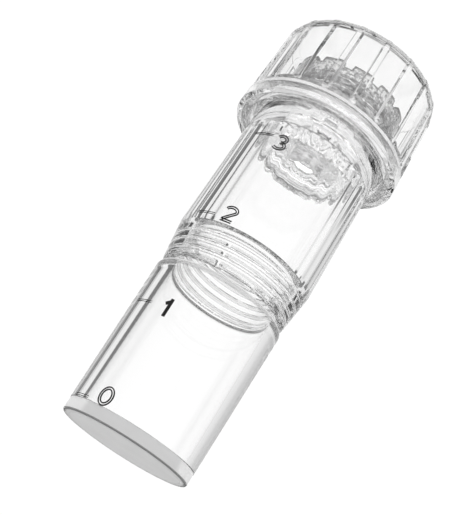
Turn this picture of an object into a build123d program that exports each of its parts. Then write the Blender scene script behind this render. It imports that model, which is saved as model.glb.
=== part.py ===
from build123d import *
import os
from math import cos, pi, radians, sin, sqrt

# Serum applicator bottle with a micro-needle head, millimetres, standing on its base.
# Z runs up the bottle, the origin is the centre of the bottom face, and -Y is the
# side that faces a reader of the scale.

# ---- driving dimensions: lower container -------------------------------------
BASE_STEP = 0.05
BASE_THICKNESS = 1.29
BASE_CHAMFER = 0.2
BODY_FOOT_RADIUS = 6.75
BODY_SHOULDER_RADIUS = 7.06
SHOULDER_Z = 17.08
SHOULDER_ROUND = 0.55
NECK_LENGTH = 4.21

# ---- driving dimensions: scale -----------------------------------------------
MARK_VOLUME = 1000.0
MARK_SPACING = 10.3
ZERO_MARK_Z = 1.52
TICK_LINE = 0.22
TICK_LENGTH = 2.34
MARK_RELIEF = 0.06
NUMERAL_HEIGHT = 1.87
NUMERAL_WIDTH = 1.52
NUMERAL_STROKE = 0.33
TICK_AZIMUTHS = (-59.0, -57.0, -48.0, -44.0)
NUMERAL_AZIMUTHS = (-34.0, -31.5, -28.0, -26.0)
NUMERAL_LIFTS = (0.7, 0.0, 0.43, -0.58)

# ---- driving dimensions: thread between container and barrel -----------------
JOINT_PITCH = 0.975
JOINT_MINOR_RADIUS = 5.97
JOINT_THREAD_HEIGHT = 0.31
JOINT_THREAD_TURNS = 3.6
JOINT_ROOT_WIDTH = 0.39
JOINT_CREST_WIDTH = 0.2
JOINT_RUN_IN = 0.23
VENT_SLOT_WIDTH = 0.39
VENT_SLOT_AZIMUTH = -18.4

# ---- driving dimensions: upper barrel ----------------------------------------
LIP_WALL = 0.5
LIP_ROUND = 0.35
LIP_GAP = 0.39
GASKET_SPACE = 0.55
BARREL_LENGTH = 16.22
BARREL_TOP_RADIUS = 7.33
BARREL_TAPER = 0.18
BORE_FLUTES = 28
BEAD_STEP = 0.37
BEAD_HEIGHT = 0.94
BEAD_ROUND = 0.24
HEAD_BORE_RADIUS = 4.45
HEAD_BORE_DEPTH = 2.89
CAP_NECK_LENGTH = 4.37

# ---- driving dimensions: thread between barrel and cap -----------------------
CAP_PITCH = 1.56
CAP_NECK_RADIUS = 5.23
CAP_THREAD_HEIGHT = 0.47
CAP_THREAD_TURNS = 2.0
CAP_INNER_TURNS = 1.5
CAP_RUN_IN = 0.85
CAP_ROOT_WIDTH = 0.7
CAP_CREST_WIDTH = 0.39

# ---- driving dimensions: cap -------------------------------------------------
CAP_OVERLAP = 1.4
CAP_HEIGHT = 11.0
CAP_TAPER = 0.37
CAP_TOP_ROUND = 1.09
CAP_TOP_WALL = 0.62
CAP_SIDE_WALL = 0.78
CAP_RIBS = 18
CAP_RIB_WIDTH = 0.9
CAP_RIB_HEIGHT = 0.31
CAP_RIB_FOOT = 1.79
CAP_RIM_HEIGHT = 1.33
CAP_RIM_STEP = 0.08
CAP_RIB_AZIMUTH = 3.3
CAP_SKIRT_WALL = 0.66
CAP_SKIRT_DEPTH = 2.5
CAP_TAB_WIDTH = 1.25
CAP_TAB_DROP = 0.62
CAP_TAB_AZIMUTH = 78.0
INSERT_WALL = 0.55
INSERT_RISE = 1.56
INSERT_FLANGE = 0.62
INSERT_SLOTS = 12
INSERT_SLOT_WIDTH = 1.01
INSERT_SLOT_DEPTH = 0.62
RING_WALL = 0.92
BEAD_GAP = 0.21

# ---- driving dimensions: outlet plug and valve -------------------------------
PLUG_NOSE_LENGTH = 1.64
PLUG_HEAD_LENGTH = 2.96
PLUG_FLUTE_DEPTH = 0.23
PLUG_CHAMBER_RADIUS = 1.72
O_RING_SECTION = 0.62
WASHER_RADIUS = 2.34
WASHER_THICKNESS = 0.47
WASHER_HOLE_RADIUS = 0.86
STEM_RADIUS = 0.62
POPPET_RADIUS = 1.36
POPPET_THICKNESS = 0.58

# ---- driving dimensions: needle head -----------------------------------------
CUP_WALL = 0.55
CUP_FLOOR = 0.62
CUP_HEIGHT = 2.81
CUP_HOLE_RADIUS = 1.01
SPRING_RADIUS = 1.95
SPRING_WIRE = 0.27
SPRING_TURNS = 4.5
PLATE_FLANGE = 0.7
PLATE_BOSS_RADIUS = 3.0
PLATE_TRAVEL = 0.62
PLATE_CHANNELS = 6
PLATE_CHANNEL_RADIUS = 0.2
GUARD_STEP = 0.08
GUARD_FLANGE = 0.58
GUARD_SPIGOT = 0.47
GUARD_BEVEL = 0.23
NEEDLE_LENGTH = 0.5
NEEDLE_RADIUS = 0.09
NEEDLE_TIP_RADIUS = 0.015
NEEDLE_COUNTS = (1, 6, 13)
NEEDLE_RING_STEP = 1.13
GUARD_SEAL_THICKNESS = 0.27

# ---- clearances --------------------------------------------------------------
SLIP_FIT = 0.04
SEAL_GAP = 0.06
THREAD_GAP = 0.12
RUNNING_GAP = 0.15
WELD_EMBED = 0.1

# ---- sizes that follow -------------------------------------------------------
BASE_RADIUS = BODY_FOOT_RADIUS - BASE_STEP
BORE_RADIUS = sqrt(MARK_VOLUME / (pi * MARK_SPACING))
NECK_TOP_Z = SHOULDER_Z + NECK_LENGTH
LIP_Z = SHOULDER_Z + LIP_GAP
JOINT_START_Z = SHOULDER_Z + JOINT_ROOT_WIDTH / 2 + JOINT_RUN_IN
JOINT_MAJOR_RADIUS = JOINT_MINOR_RADIUS + JOINT_THREAD_HEIGHT
SOCKET_RADIUS = JOINT_MAJOR_RADIUS + THREAD_GAP
SOCKET_CREST_RADIUS = JOINT_MINOR_RADIUS + THREAD_GAP
SOCKET_TOP_Z = NECK_TOP_Z + GASKET_SPACE
LIP_RADIUS = SOCKET_RADIUS + LIP_WALL
BARREL_WAIST_RADIUS = BARREL_TOP_RADIUS + BARREL_TAPER
BEAD_RADIUS = BARREL_TOP_RADIUS + BEAD_STEP
BEAD_TOP_Z = SOCKET_TOP_Z + BARREL_LENGTH
BEAD_BOTTOM_Z = BEAD_TOP_Z - BEAD_HEIGHT
HEAD_BORE_FLOOR_Z = BEAD_TOP_Z - HEAD_BORE_DEPTH
CAP_NECK_TOP_Z = BEAD_TOP_Z + CAP_NECK_LENGTH
CAP_MAJOR_RADIUS = CAP_NECK_RADIUS + CAP_THREAD_HEIGHT
CAP_THREAD_START_Z = BEAD_TOP_Z + CAP_RUN_IN
INSERT_BORE_RADIUS = CAP_MAJOR_RADIUS + THREAD_GAP
INSERT_CREST_RADIUS = CAP_NECK_RADIUS + THREAD_GAP
INSERT_RADIUS = INSERT_BORE_RADIUS + INSERT_WALL
INSERT_TOP_Z = CAP_NECK_TOP_Z + INSERT_RISE
RING_INNER_RADIUS = BEAD_RADIUS + BEAD_GAP
CAP_SKIRT_RADIUS = RING_INNER_RADIUS + RING_WALL
CAP_BOTTOM_RADIUS = CAP_SKIRT_RADIUS + CAP_SKIRT_WALL
CAP_TOP_RADIUS = CAP_BOTTOM_RADIUS - CAP_TAPER
CAP_INNER_RADIUS = CAP_TOP_RADIUS - CAP_RIB_HEIGHT - CAP_SIDE_WALL
CAP_BOTTOM_Z = BEAD_TOP_Z - CAP_OVERLAP
CAP_TOP_Z = CAP_BOTTOM_Z + CAP_HEIGHT
CAP_RIM_Z = CAP_TOP_Z - CAP_RIM_HEIGHT
CAP_CEILING_Z = CAP_TOP_Z - CAP_TOP_WALL
CAP_STEP_Z = CAP_BOTTOM_Z + CAP_SKIRT_DEPTH
FLANGE_BOTTOM_Z = CAP_STEP_Z - INSERT_FLANGE
HEAD_FIT_RADIUS = HEAD_BORE_RADIUS - SLIP_FIT
PLUG_BOTTOM_Z = HEAD_BORE_FLOOR_Z - PLUG_NOSE_LENGTH
PLUG_TOP_Z = HEAD_BORE_FLOOR_Z + PLUG_HEAD_LENGTH
O_RING_Z = (HEAD_BORE_FLOOR_Z + PLUG_TOP_Z) / 2
PLATE_RADIUS = HEAD_FIT_RADIUS - CUP_WALL - RUNNING_GAP
GUARD_RADIUS = CAP_NECK_RADIUS - GUARD_STEP
GUARD_SEAT_Z = CAP_NECK_TOP_Z + GUARD_SEAL_THICKNESS
GUARD_TOP_Z = GUARD_SEAT_Z + GUARD_FLANGE
GUARD_SPIGOT_Z = GUARD_SEAT_Z - GUARD_SPIGOT - GUARD_SEAL_THICKNESS
PLATE_TOP_Z = GUARD_SPIGOT_Z - SEAL_GAP
PLATE_BOTTOM_Z = PLATE_TOP_Z - PLATE_FLANGE
FACE_Z = GUARD_TOP_Z + SEAL_GAP
CUP_BOTTOM_Z = PLUG_TOP_Z + SLIP_FIT
CUP_FLOOR_Z = CUP_BOTTOM_Z + CUP_FLOOR
WASHER_BOTTOM_Z = PLUG_TOP_Z - WASHER_THICKNESS
POPPET_TOP_Z = WASHER_BOTTOM_Z - SEAL_GAP


# ---- helpers -----------------------------------------------------------------
def lathe(points):
    """Revolve a closed outline of (radius, height) points about Z."""
    outline = Polyline(*[(r, 0, z) for r, z in points], close=True)
    return revolve(make_face(outline), Axis.Z)


def disc(radius, bottom, top, hole=0.0):
    """A round plate or tube between two heights."""
    body = Cylinder(radius, top - bottom, align=(Align.CENTER, Align.CENTER, Align.MIN))
    if hole > 0:
        body -= Cylinder(hole, top - bottom, align=(Align.CENTER, Align.CENTER, Align.MIN))
    return Pos(0, 0, bottom) * body


def circles_of_radius(body, radius):
    """The circular edges of a body that have one radius."""
    circles = body.edges().filter_by(GeomType.CIRCLE)
    return circles.filter_by(lambda edge: abs(edge.radius - radius) < 0.001)


def at_azimuth(angle, radius, height=0.0):
    """Place something on the wall: 0 degrees is the front, positive goes to +X."""
    return Rot(0, 0, angle) * Pos(0, -radius, height)


def helical_ridge(root_radius, crest_radius, pitch, turns, widths, start_z):
    """A right-handed trapezoid thread; its root is sunk a little into the wall it is on."""
    root_width, crest_width = widths
    outward = 1 if crest_radius > root_radius else -1
    foot = root_radius - outward * WELD_EMBED
    section = Polyline(
        (foot, 0, -root_width / 2),
        (root_radius, 0, -root_width / 2),
        (crest_radius, 0, -crest_width / 2),
        (crest_radius, 0, crest_width / 2),
        (root_radius, 0, root_width / 2),
        (foot, 0, root_width / 2),
        close=True,
    )
    path = Helix(pitch, pitch * turns, root_radius)
    ridge = sweep(make_face(section), path=path, is_frenet=True)
    return Pos(0, 0, start_z) * ridge


def wall_radius(z, low, high):
    """Radius of a straight tapered wall between two (height, radius) pairs."""
    share = (z - low[0]) / (high[0] - low[0])
    return low[1] + share * (high[1] - low[1])


def flutes(radius, depth, bottom, top, count):
    """V grooves round a plug, as cutters."""
    half = radius * pi / count / 2
    points = ((-half, radius + SLIP_FIT), (0, radius - depth), (half, radius + SLIP_FIT))
    tooth = make_face(Polyline(*points, close=True))
    cutter = extrude(Pos(0, 0, bottom) * tooth, amount=top - bottom)
    return [Rot(0, 0, 360 * k / count) * cutter for k in range(count)]


# ---- lower container ---------------------------------------------------------
def make_base_disc():
    plate = disc(BASE_RADIUS, 0, BASE_THICKNESS)
    return chamfer(plate.edges().group_by(Axis.Z)[0], BASE_CHAMFER)


def make_container():
    body = lathe((
        (BORE_RADIUS, BASE_THICKNESS),
        (BODY_FOOT_RADIUS, BASE_THICKNESS),
        (BODY_SHOULDER_RADIUS, SHOULDER_Z),
        (JOINT_MINOR_RADIUS, SHOULDER_Z),
        (JOINT_MINOR_RADIUS, NECK_TOP_Z),
        (BORE_RADIUS, NECK_TOP_Z),
    ))
    body = fillet(circles_of_radius(body, BODY_SHOULDER_RADIUS), SHOULDER_ROUND)
    ridge = helical_ridge(
        JOINT_MINOR_RADIUS, JOINT_MAJOR_RADIUS, JOINT_PITCH, JOINT_THREAD_TURNS,
        (JOINT_ROOT_WIDTH, JOINT_CREST_WIDTH), JOINT_START_Z,
    )
    ridge -= vent_slot()
    return body + ridge


def vent_slot():
    """The slot that crosses the neck thread and lets air out as the bottle closes."""
    slot = Box(VENT_SLOT_WIDTH, JOINT_THREAD_HEIGHT * 2, NECK_LENGTH)
    centre = JOINT_MAJOR_RADIUS
    return at_azimuth(VENT_SLOT_AZIMUTH, centre, SHOULDER_Z + NECK_LENGTH / 2) * slot


# ---- scale marks -------------------------------------------------------------
def bowl(centre_y, x_radius, y_radius, start, end):
    """Points round part of an ellipse, for the round strokes of a numeral."""
    steps = 9
    points = []
    for k in range(steps + 1):
        angle = radians(start + (end - start) * k / steps)
        points.append((x_radius * cos(angle), centre_y + y_radius * sin(angle)))
    return points


def numeral_face(digit):
    """One digit drawn with a pen of even width, centred on the origin, upright along Y."""
    h = NUMERAL_HEIGHT - NUMERAL_STROKE
    w = NUMERAL_WIDTH - NUMERAL_STROKE
    if digit == 0:
        outer = Ellipse((w + NUMERAL_STROKE) / 2, (h + NUMERAL_STROKE) / 2)
        return outer - Ellipse((w - NUMERAL_STROKE) / 2, (h - NUMERAL_STROKE) / 2)
    if digit == 1:
        stem = Polyline((0.1 * w, -NUMERAL_HEIGHT / 2), (0.1 * w, NUMERAL_HEIGHT / 2))
        flag = Polyline((-0.3 * w, 0.2 * h), (0.1 * w, 0.42 * h))
        return trace(stem, NUMERAL_STROKE) + trace(flag, NUMERAL_STROKE)
    if digit == 2:
        bow = Polyline(*bowl(h / 4, w / 2, h / 4, 165, -30), (-0.42 * w, -0.46 * h))
        foot = Polyline((-w / 2, -h / 2), (w / 2, -h / 2))
        return trace(bow, NUMERAL_STROKE) + trace(foot, NUMERAL_STROKE)
    upper = Polyline(*bowl(h / 4, w * 0.42, h / 4, 150, -90))
    lower = Polyline(*bowl(-h / 4, w / 2, h / 4, 90, -150))
    return trace(upper, NUMERAL_STROKE) + trace(lower, NUMERAL_STROKE)


def wall_print(shape, azimuth, height, low, high):
    """Wrap a flat mark on the tapered wall as a thin raised print."""
    reach = max(low[1], high[1])
    plane = Plane(origin=(0, 0, 0), x_dir=(1, 0, 0), z_dir=(0, -1, 0))
    stamp = extrude(plane * shape, amount=reach + NUMERAL_HEIGHT)
    stamp = Rot(0, 0, azimuth) * Pos(0, 0, height) * stamp
    margin = NUMERAL_HEIGHT
    below = height - margin
    above = height + margin
    inner_low = wall_radius(below, low, high)
    inner_high = wall_radius(above, low, high)
    skin = lathe((
        (inner_low, below),
        (inner_low + MARK_RELIEF, below),
        (inner_high + MARK_RELIEF, above),
        (inner_high, above),
    ))
    return stamp & skin


def scale_marks(numbers, wall):
    """Graduations of the scale, each a tick with its numeral beside it."""
    low, high = wall
    solids = []
    for number in numbers:
        height = ZERO_MARK_Z + number * MARK_SPACING
        tick = Rectangle(TICK_LENGTH, TICK_LINE)
        solids += wall_print(tick, TICK_AZIMUTHS[number], height, low, high).solids()
        height += NUMERAL_LIFTS[number]
        digit = numeral_face(number)
        solids += wall_print(digit, NUMERAL_AZIMUTHS[number], height, low, high).solids()
    return Compound(children=solids)


def make_lower_scale():
    wall = ((BASE_THICKNESS, BODY_FOOT_RADIUS), (SHOULDER_Z, BODY_SHOULDER_RADIUS))
    return scale_marks((0, 1), wall)


def make_upper_scale():
    wall = ((SOCKET_TOP_Z, BARREL_WAIST_RADIUS), (BEAD_BOTTOM_Z, BARREL_TOP_RADIUS))
    return scale_marks((2, 3), wall)


# ---- upper barrel ------------------------------------------------------------
def make_joint_gasket():
    return disc(
        SOCKET_CREST_RADIUS - RUNNING_GAP, NECK_TOP_Z + SEAL_GAP, SOCKET_TOP_Z - SEAL_GAP,
        hole=BORE_RADIUS + SLIP_FIT,
    )


def make_upper_barrel():
    body = lathe((
        (SOCKET_RADIUS, LIP_Z),
        (LIP_RADIUS, LIP_Z),
        (BARREL_WAIST_RADIUS, SOCKET_TOP_Z),
        (BARREL_TOP_RADIUS, BEAD_BOTTOM_Z),
        (BEAD_RADIUS, BEAD_BOTTOM_Z),
        (BEAD_RADIUS, BEAD_TOP_Z),
        (CAP_NECK_RADIUS, BEAD_TOP_Z),
        (CAP_NECK_RADIUS, CAP_NECK_TOP_Z),
        (HEAD_BORE_RADIUS, CAP_NECK_TOP_Z),
        (HEAD_BORE_RADIUS, HEAD_BORE_FLOOR_Z),
        (0, HEAD_BORE_FLOOR_Z),
        (0, SOCKET_TOP_Z),
        (SOCKET_RADIUS, SOCKET_TOP_Z),
    ))
    body = fillet(circles_of_radius(body, BEAD_RADIUS), BEAD_ROUND)
    body = fillet(circles_of_radius(body, LIP_RADIUS), LIP_ROUND)
    bore = extrude(
        Pos(0, 0, SOCKET_TOP_Z) * RegularPolygon(BORE_RADIUS, BORE_FLUTES, major_radius=False),
        amount=HEAD_BORE_FLOOR_Z - SOCKET_TOP_Z,
    )
    body -= bore
    female_start = JOINT_START_Z + JOINT_PITCH / 2
    turns = (SOCKET_TOP_Z - JOINT_ROOT_WIDTH - female_start) / JOINT_PITCH
    body += helical_ridge(
        SOCKET_RADIUS, SOCKET_CREST_RADIUS, JOINT_PITCH, turns,
        (JOINT_ROOT_WIDTH, JOINT_CREST_WIDTH), female_start,
    )
    body += helical_ridge(
        CAP_NECK_RADIUS, CAP_MAJOR_RADIUS, CAP_PITCH, CAP_THREAD_TURNS,
        (CAP_ROOT_WIDTH, CAP_CREST_WIDTH), CAP_THREAD_START_Z,
    )
    return body


# ---- outlet plug and valve ---------------------------------------------------
def make_outlet_plug():
    spigot_radius = BORE_RADIUS - SLIP_FIT
    body = disc(spigot_radius, PLUG_BOTTOM_Z, HEAD_BORE_FLOOR_Z - SLIP_FIT)
    body += disc(HEAD_FIT_RADIUS, PLUG_BOTTOM_Z, PLUG_TOP_Z)
    body -= disc(PLUG_CHAMBER_RADIUS, PLUG_BOTTOM_Z, WASHER_BOTTOM_Z)
    body -= disc(WASHER_RADIUS, WASHER_BOTTOM_Z, PLUG_TOP_Z)
    body -= flutes(spigot_radius, PLUG_FLUTE_DEPTH, PLUG_BOTTOM_Z, HEAD_BORE_FLOOR_Z, BORE_FLUTES)
    body -= groove_ring()
    return body


def groove_ring():
    """The groove that the O-ring lies in."""
    half = O_RING_SECTION / 2 + SLIP_FIT
    outer = HEAD_FIT_RADIUS + SLIP_FIT
    return disc(outer, O_RING_Z - half, O_RING_Z + half, hole=o_ring_radius() - half)


def o_ring_radius():
    """Radius of the circle that the O-ring's centre line follows."""
    return HEAD_BORE_RADIUS - O_RING_SECTION / 2 - SLIP_FIT / 2


def make_plug_o_ring():
    return Pos(0, 0, O_RING_Z) * Torus(o_ring_radius(), O_RING_SECTION / 2)


def make_valve_seat_washer():
    return disc(
        WASHER_RADIUS - SLIP_FIT, WASHER_BOTTOM_Z + SLIP_FIT / 2, PLUG_TOP_Z,
        hole=WASHER_HOLE_RADIUS,
    )


def make_valve_stem():
    poppet = disc(POPPET_RADIUS, POPPET_TOP_Z - POPPET_THICKNESS, POPPET_TOP_Z)
    poppet = chamfer(poppet.edges().group_by(Axis.Z)[0], POPPET_THICKNESS / 2)
    return poppet + disc(STEM_RADIUS, POPPET_TOP_Z, stem_top())


def stem_top():
    """The stem ends inside the boss of the needle plate."""
    return PLATE_TOP_Z + GUARD_SPIGOT


# ---- needle head -------------------------------------------------------------
def make_spring_cup():
    top = min(CUP_BOTTOM_Z + CUP_HEIGHT, PLATE_BOTTOM_Z - PLATE_TRAVEL + CUP_WALL)
    body = disc(HEAD_FIT_RADIUS, CUP_BOTTOM_Z, top)
    body -= disc(HEAD_FIT_RADIUS - CUP_WALL, CUP_FLOOR_Z, top)
    return body - disc(CUP_HOLE_RADIUS, CUP_BOTTOM_Z, CUP_FLOOR_Z)


def make_return_spring():
    bottom = CUP_FLOOR_Z + SPRING_WIRE / 2 + SLIP_FIT
    top = PLATE_BOTTOM_Z - SPRING_WIRE / 2 - SLIP_FIT
    path = Helix((top - bottom) / SPRING_TURNS, top - bottom, SPRING_RADIUS)
    section = Plane(origin=path @ 0, z_dir=path % 0) * Circle(SPRING_WIRE / 2)
    return Pos(0, 0, bottom) * sweep(section, path=path, is_frenet=True)


def make_needle_plate():
    body = disc(PLATE_RADIUS, PLATE_BOTTOM_Z, PLATE_TOP_Z)
    body += disc(PLATE_BOSS_RADIUS, PLATE_TOP_Z, FACE_Z)
    body -= disc(STEM_RADIUS + SLIP_FIT, PLATE_BOTTOM_Z, stem_top() + SLIP_FIT)
    for k in range(PLATE_CHANNELS):
        channel = disc(PLATE_CHANNEL_RADIUS, PLATE_BOTTOM_Z, PLATE_TOP_Z)
        ring = (PLATE_RADIUS + PLATE_BOSS_RADIUS) / 2
        body -= Rot(0, 0, 360 * k / PLATE_CHANNELS) * Pos(ring, 0, 0) * channel
    return body


def make_needles():
    needle = Cone(
        NEEDLE_RADIUS, NEEDLE_TIP_RADIUS, NEEDLE_LENGTH,
        align=(Align.CENTER, Align.CENTER, Align.MIN),
    )
    pins = []
    for ring, count in enumerate(NEEDLE_COUNTS):
        for k in range(count):
            place = Rot(0, 0, 360 * k / count) * Pos(ring * NEEDLE_RING_STEP, 0, FACE_Z)
            pins.append(place * needle)
    return Compound(children=pins)


def make_guard_seal():
    return disc(
        GUARD_RADIUS - SLIP_FIT, CAP_NECK_TOP_Z + SLIP_FIT / 2, GUARD_SEAT_Z - SLIP_FIT / 2,
        hole=HEAD_BORE_RADIUS,
    )


def make_needle_guard():
    opening = PLATE_BOSS_RADIUS + RUNNING_GAP
    body = disc(GUARD_RADIUS, GUARD_SEAT_Z, GUARD_TOP_Z)
    body = chamfer(body.edges().group_by(Axis.Z)[-1], GUARD_BEVEL)
    body += disc(HEAD_FIT_RADIUS, GUARD_SPIGOT_Z, GUARD_SEAT_Z)
    return body - disc(opening, GUARD_SPIGOT_Z, GUARD_TOP_Z)


# ---- cap ---------------------------------------------------------------------
def make_cap_seal_ring():
    return disc(
        BEAD_RADIUS - BEAD_ROUND, BEAD_TOP_Z + SEAL_GAP, FLANGE_BOTTOM_Z - SEAL_GAP,
        hole=INSERT_BORE_RADIUS + THREAD_GAP,
    )


def cap_wall():
    """The straight tapered side of the cap between its ribs."""
    return (
        (CAP_BOTTOM_Z + CAP_RIB_FOOT, CAP_BOTTOM_RADIUS - CAP_RIB_HEIGHT),
        (CAP_TOP_Z, CAP_TOP_RADIUS - CAP_RIB_HEIGHT),
    )


def cap_envelope():
    """The whole cap as one plug, out to the tops of the ribs."""
    body = lathe((
        (0, CAP_BOTTOM_Z),
        (CAP_BOTTOM_RADIUS, CAP_BOTTOM_Z),
        (CAP_TOP_RADIUS, CAP_TOP_Z),
        (0, CAP_TOP_Z),
    ))
    return fillet(body.edges().group_by(Axis.Z)[-1], CAP_TOP_ROUND)


def cap_core():
    """The cap without its ribs: a plain band, a slightly slimmer wall and a smooth top rim."""
    low, high = cap_wall()
    rim = CAP_TOP_RADIUS - CAP_RIM_STEP
    body = lathe((
        (0, CAP_BOTTOM_Z),
        (CAP_BOTTOM_RADIUS, CAP_BOTTOM_Z),
        (CAP_BOTTOM_RADIUS, low[0] - CAP_RIB_HEIGHT),
        (low[1], low[0]),
        (wall_radius(CAP_RIM_Z - CAP_RIB_HEIGHT, low, high), CAP_RIM_Z - CAP_RIB_HEIGHT),
        (rim, CAP_RIM_Z),
        (rim, CAP_TOP_Z),
        (0, CAP_TOP_Z),
    ))
    return fillet(body.edges().group_by(Axis.Z)[-1], CAP_TOP_ROUND)


def cap_rib():
    """One grip rib with a round foot, standing straight up the wall."""
    half = CAP_RIB_WIDTH / 2
    foot_z = CAP_BOTTOM_Z + CAP_RIB_FOOT
    plan = Pos(0, foot_z + half) * Circle(half)
    length = CAP_TOP_Z - foot_z
    plan += Pos(0, foot_z + half + length / 2) * Rectangle(CAP_RIB_WIDTH, length)
    plane = Plane(origin=(0, 0, 0), x_dir=(1, 0, 0), z_dir=(0, -1, 0))
    bar = extrude(plane * plan, amount=CAP_BOTTOM_RADIUS + CAP_RIB_HEIGHT)
    return bar - disc(CAP_INNER_RADIUS + CAP_SIDE_WALL / 2, CAP_BOTTOM_Z, CAP_TOP_Z)


def cap_tab():
    """The small index tab under the rim."""
    tab = Box(CAP_TAB_WIDTH, CAP_SKIRT_WALL * 2, CAP_TAB_DROP * 2)
    tab = at_azimuth(CAP_TAB_AZIMUTH, CAP_BOTTOM_RADIUS, CAP_BOTTOM_Z) * tab
    skirt = disc(
        CAP_BOTTOM_RADIUS, CAP_BOTTOM_Z - CAP_TAB_DROP, CAP_BOTTOM_Z + CAP_TAB_DROP,
        hole=CAP_SKIRT_RADIUS,
    )
    return tab & skirt


def make_outer_cap():
    ribs = [Rot(0, 0, CAP_RIB_AZIMUTH + 360 * k / CAP_RIBS) * cap_rib() for k in range(CAP_RIBS)]
    envelope = cap_envelope()
    body = cap_core()
    for rib in ribs:
        body += rib & envelope
    body -= disc(CAP_SKIRT_RADIUS, CAP_BOTTOM_Z, CAP_STEP_Z)
    body -= disc(CAP_INNER_RADIUS, CAP_STEP_Z, CAP_CEILING_Z)
    return body + cap_tab()


def make_cap_thread_insert():
    body = disc(CAP_SKIRT_RADIUS - SLIP_FIT, FLANGE_BOTTOM_Z, CAP_STEP_Z - SLIP_FIT)
    body += disc(INSERT_RADIUS, FLANGE_BOTTOM_Z, INSERT_TOP_Z)
    body -= disc(INSERT_BORE_RADIUS, FLANGE_BOTTOM_Z, INSERT_TOP_Z)
    slot = Box(INSERT_SLOT_WIDTH, INSERT_WALL * 4, INSERT_SLOT_DEPTH * 2)
    for k in range(INSERT_SLOTS):
        body -= at_azimuth(360 * (k + 0.5) / INSERT_SLOTS, INSERT_RADIUS, INSERT_TOP_Z) * slot
    body += helical_ridge(
        INSERT_BORE_RADIUS, INSERT_CREST_RADIUS, CAP_PITCH, CAP_INNER_TURNS,
        (CAP_ROOT_WIDTH, CAP_CREST_WIDTH), CAP_THREAD_START_Z + CAP_PITCH / 2,
    )
    return body


def make_cap_retaining_ring():
    return disc(
        CAP_SKIRT_RADIUS - SLIP_FIT, CAP_BOTTOM_Z + SLIP_FIT, FLANGE_BOTTOM_Z - SLIP_FIT,
        hole=RING_INNER_RADIUS,
    )


PARTS = {
    "base_disc": make_base_disc,
    "container": make_container,
    "lower_scale": make_lower_scale,
    "joint_gasket": make_joint_gasket,
    "upper_barrel": make_upper_barrel,
    "upper_scale": make_upper_scale,
    "outlet_plug": make_outlet_plug,
    "plug_o_ring": make_plug_o_ring,
    "valve_seat_washer": make_valve_seat_washer,
    "valve_stem": make_valve_stem,
    "spring_cup": make_spring_cup,
    "return_spring": make_return_spring,
    "needle_plate": make_needle_plate,
    "needles": make_needles,
    "guard_seal": make_guard_seal,
    "needle_guard": make_needle_guard,
    "cap_seal_ring": make_cap_seal_ring,
    "outer_cap": make_outer_cap,
    "cap_thread_insert": make_cap_thread_insert,
    "cap_retaining_ring": make_cap_retaining_ring,
}

os.makedirs("parts", exist_ok=True)
for name, make in PARTS.items():
    export_step(make(), f"parts/{name}.step")
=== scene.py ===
"""Looks of the serum applicator bottle: clear moulded shells, frosted base, steel and print.

Metres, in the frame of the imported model: Z runs up the bottle and -Y faces the reader.
"""
from math import atan2, ceil, cos, degrees, floor, hypot, pi, radians, sin, tan

import bmesh
import bpy
from mathutils import Matrix, Vector


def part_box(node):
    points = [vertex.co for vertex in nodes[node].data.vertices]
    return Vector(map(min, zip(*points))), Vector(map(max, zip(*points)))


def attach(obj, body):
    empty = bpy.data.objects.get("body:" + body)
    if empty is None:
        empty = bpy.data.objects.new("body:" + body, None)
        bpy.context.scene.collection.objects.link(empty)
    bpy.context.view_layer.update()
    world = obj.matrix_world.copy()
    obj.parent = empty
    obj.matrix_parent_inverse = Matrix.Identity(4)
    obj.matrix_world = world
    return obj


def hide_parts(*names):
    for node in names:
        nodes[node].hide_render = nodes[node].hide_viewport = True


MM = 0.001

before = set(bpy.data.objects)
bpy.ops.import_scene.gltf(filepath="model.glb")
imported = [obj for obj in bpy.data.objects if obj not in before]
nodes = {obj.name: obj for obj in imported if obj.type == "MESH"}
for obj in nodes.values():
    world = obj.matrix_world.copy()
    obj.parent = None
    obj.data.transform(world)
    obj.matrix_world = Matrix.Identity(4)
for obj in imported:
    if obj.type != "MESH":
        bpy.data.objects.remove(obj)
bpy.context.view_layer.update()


# ---- heights and radii read from the frame -------------------------------------
def bottom(node):
    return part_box(node)[0].z


def top(node):
    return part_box(node)[1].z


def reach(node):
    """Largest radius of a round node."""
    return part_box(node)[1].x


BASE_RADIUS = reach("base_disc")
BASE_TOP = top("base_disc")
NECK_TOP = top("container")
SHOULDER_RADIUS = reach("container")
BEAD_RADIUS = reach("upper_barrel")
LIP_Z = bottom("upper_barrel")
BARREL_TOP = top("upper_barrel")
CAP_TOP = top("outer_cap")
INSERT_TOP = top("cap_thread_insert")
INSERT_BOTTOM = bottom("cap_thread_insert")
INSERT_REACH = reach("cap_thread_insert")
PLUG_BOTTOM = bottom("outlet_plug")

# ---- sizes that the boxes do not show ------------------------------------------
WELD = 0.01 * MM
SLIP = 0.04 * MM
LEAD_IN = 0.08 * MM
BORE = 5.559 * MM
FOOT_RADIUS = 6.75 * MM
SHOULDER_Z = 17.08 * MM
SHOULDER_ROUND = 0.55 * MM
JOINT_PITCH = 0.975 * MM
JOINT_MINOR = 5.97 * MM
JOINT_HEIGHT = 0.31 * MM
JOINT_TURNS = 3.6
JOINT_START = 17.505 * MM
JOINT_ROOT = 0.39 * MM
JOINT_CREST = 0.2 * MM
VENT_WIDTH = 0.39 * MM
VENT_AZIMUTH = -18.4
SOCKET = 6.4 * MM
SOCKET_TOP = 21.84 * MM
LIP_RADIUS = 6.9 * MM
LIP_ROUND = 0.35 * MM
WAIST_RADIUS = 7.51 * MM
BARREL_RADIUS = 7.33 * MM
FLUTES = 28
BEAD_TOP = 38.06 * MM
BEAD_BOTTOM = BEAD_TOP - 0.94 * MM
BEAD_ROUND = 0.24 * MM
HEAD_BORE = 4.45 * MM
HEAD_FLOOR = 35.17 * MM
PLUG_LEDGE = HEAD_FLOOR - SLIP
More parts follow.
